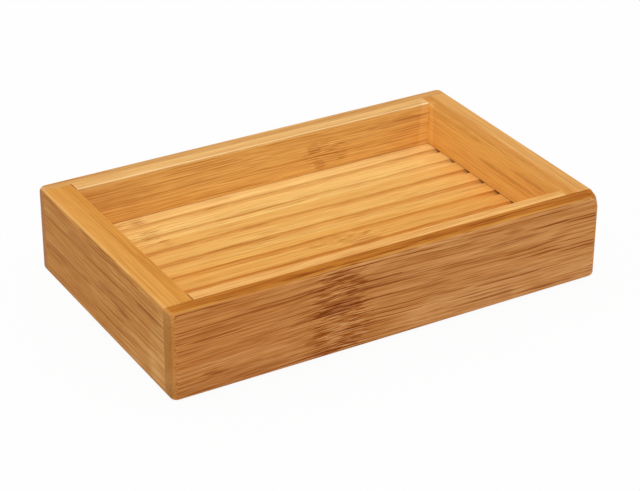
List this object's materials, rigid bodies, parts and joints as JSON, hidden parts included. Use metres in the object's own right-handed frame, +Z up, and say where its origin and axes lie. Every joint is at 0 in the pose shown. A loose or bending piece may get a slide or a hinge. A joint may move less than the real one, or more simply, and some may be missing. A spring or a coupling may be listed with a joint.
{
  "type": "soap dish",
  "caption": "Rectangular bamboo soap dish: a shallow box of laminated walls with rabbeted corners round a grooved floor set halfway up, open below.",
  "frame": {"origin": "centre of the dish's footprint, on the surface that it stands on", "axes": "+X along the length to the right, +Y from the front wall to the back wall, +Z up"},
  "size_m": [0.13, 0.08, 0.0255],
  "materials": {
    "outer_bamboo": "satin varnish",
    "inner_bamboo": "satin varnish",
    "floor_bamboo": "satin varnish"
  },
  "bodies": {
    "root": {"front_wall_outer_ply": "outer_bamboo", "front_wall_inner_ply": "inner_bamboo", "back_wall_outer_ply": "outer_bamboo", "back_wall_inner_ply": "inner_bamboo", "left_end_outer_ply": "outer_bamboo", "left_end_inner_ply": "inner_bamboo", "right_end_outer_ply": "outer_bamboo", "right_end_inner_ply": "inner_bamboo", "floor_strip_1": "floor_bamboo", "floor_strip_2": "floor_bamboo", "floor_strip_3": "floor_bamboo", "floor_strip_4": "floor_bamboo"}
  },
  "joints": []
}
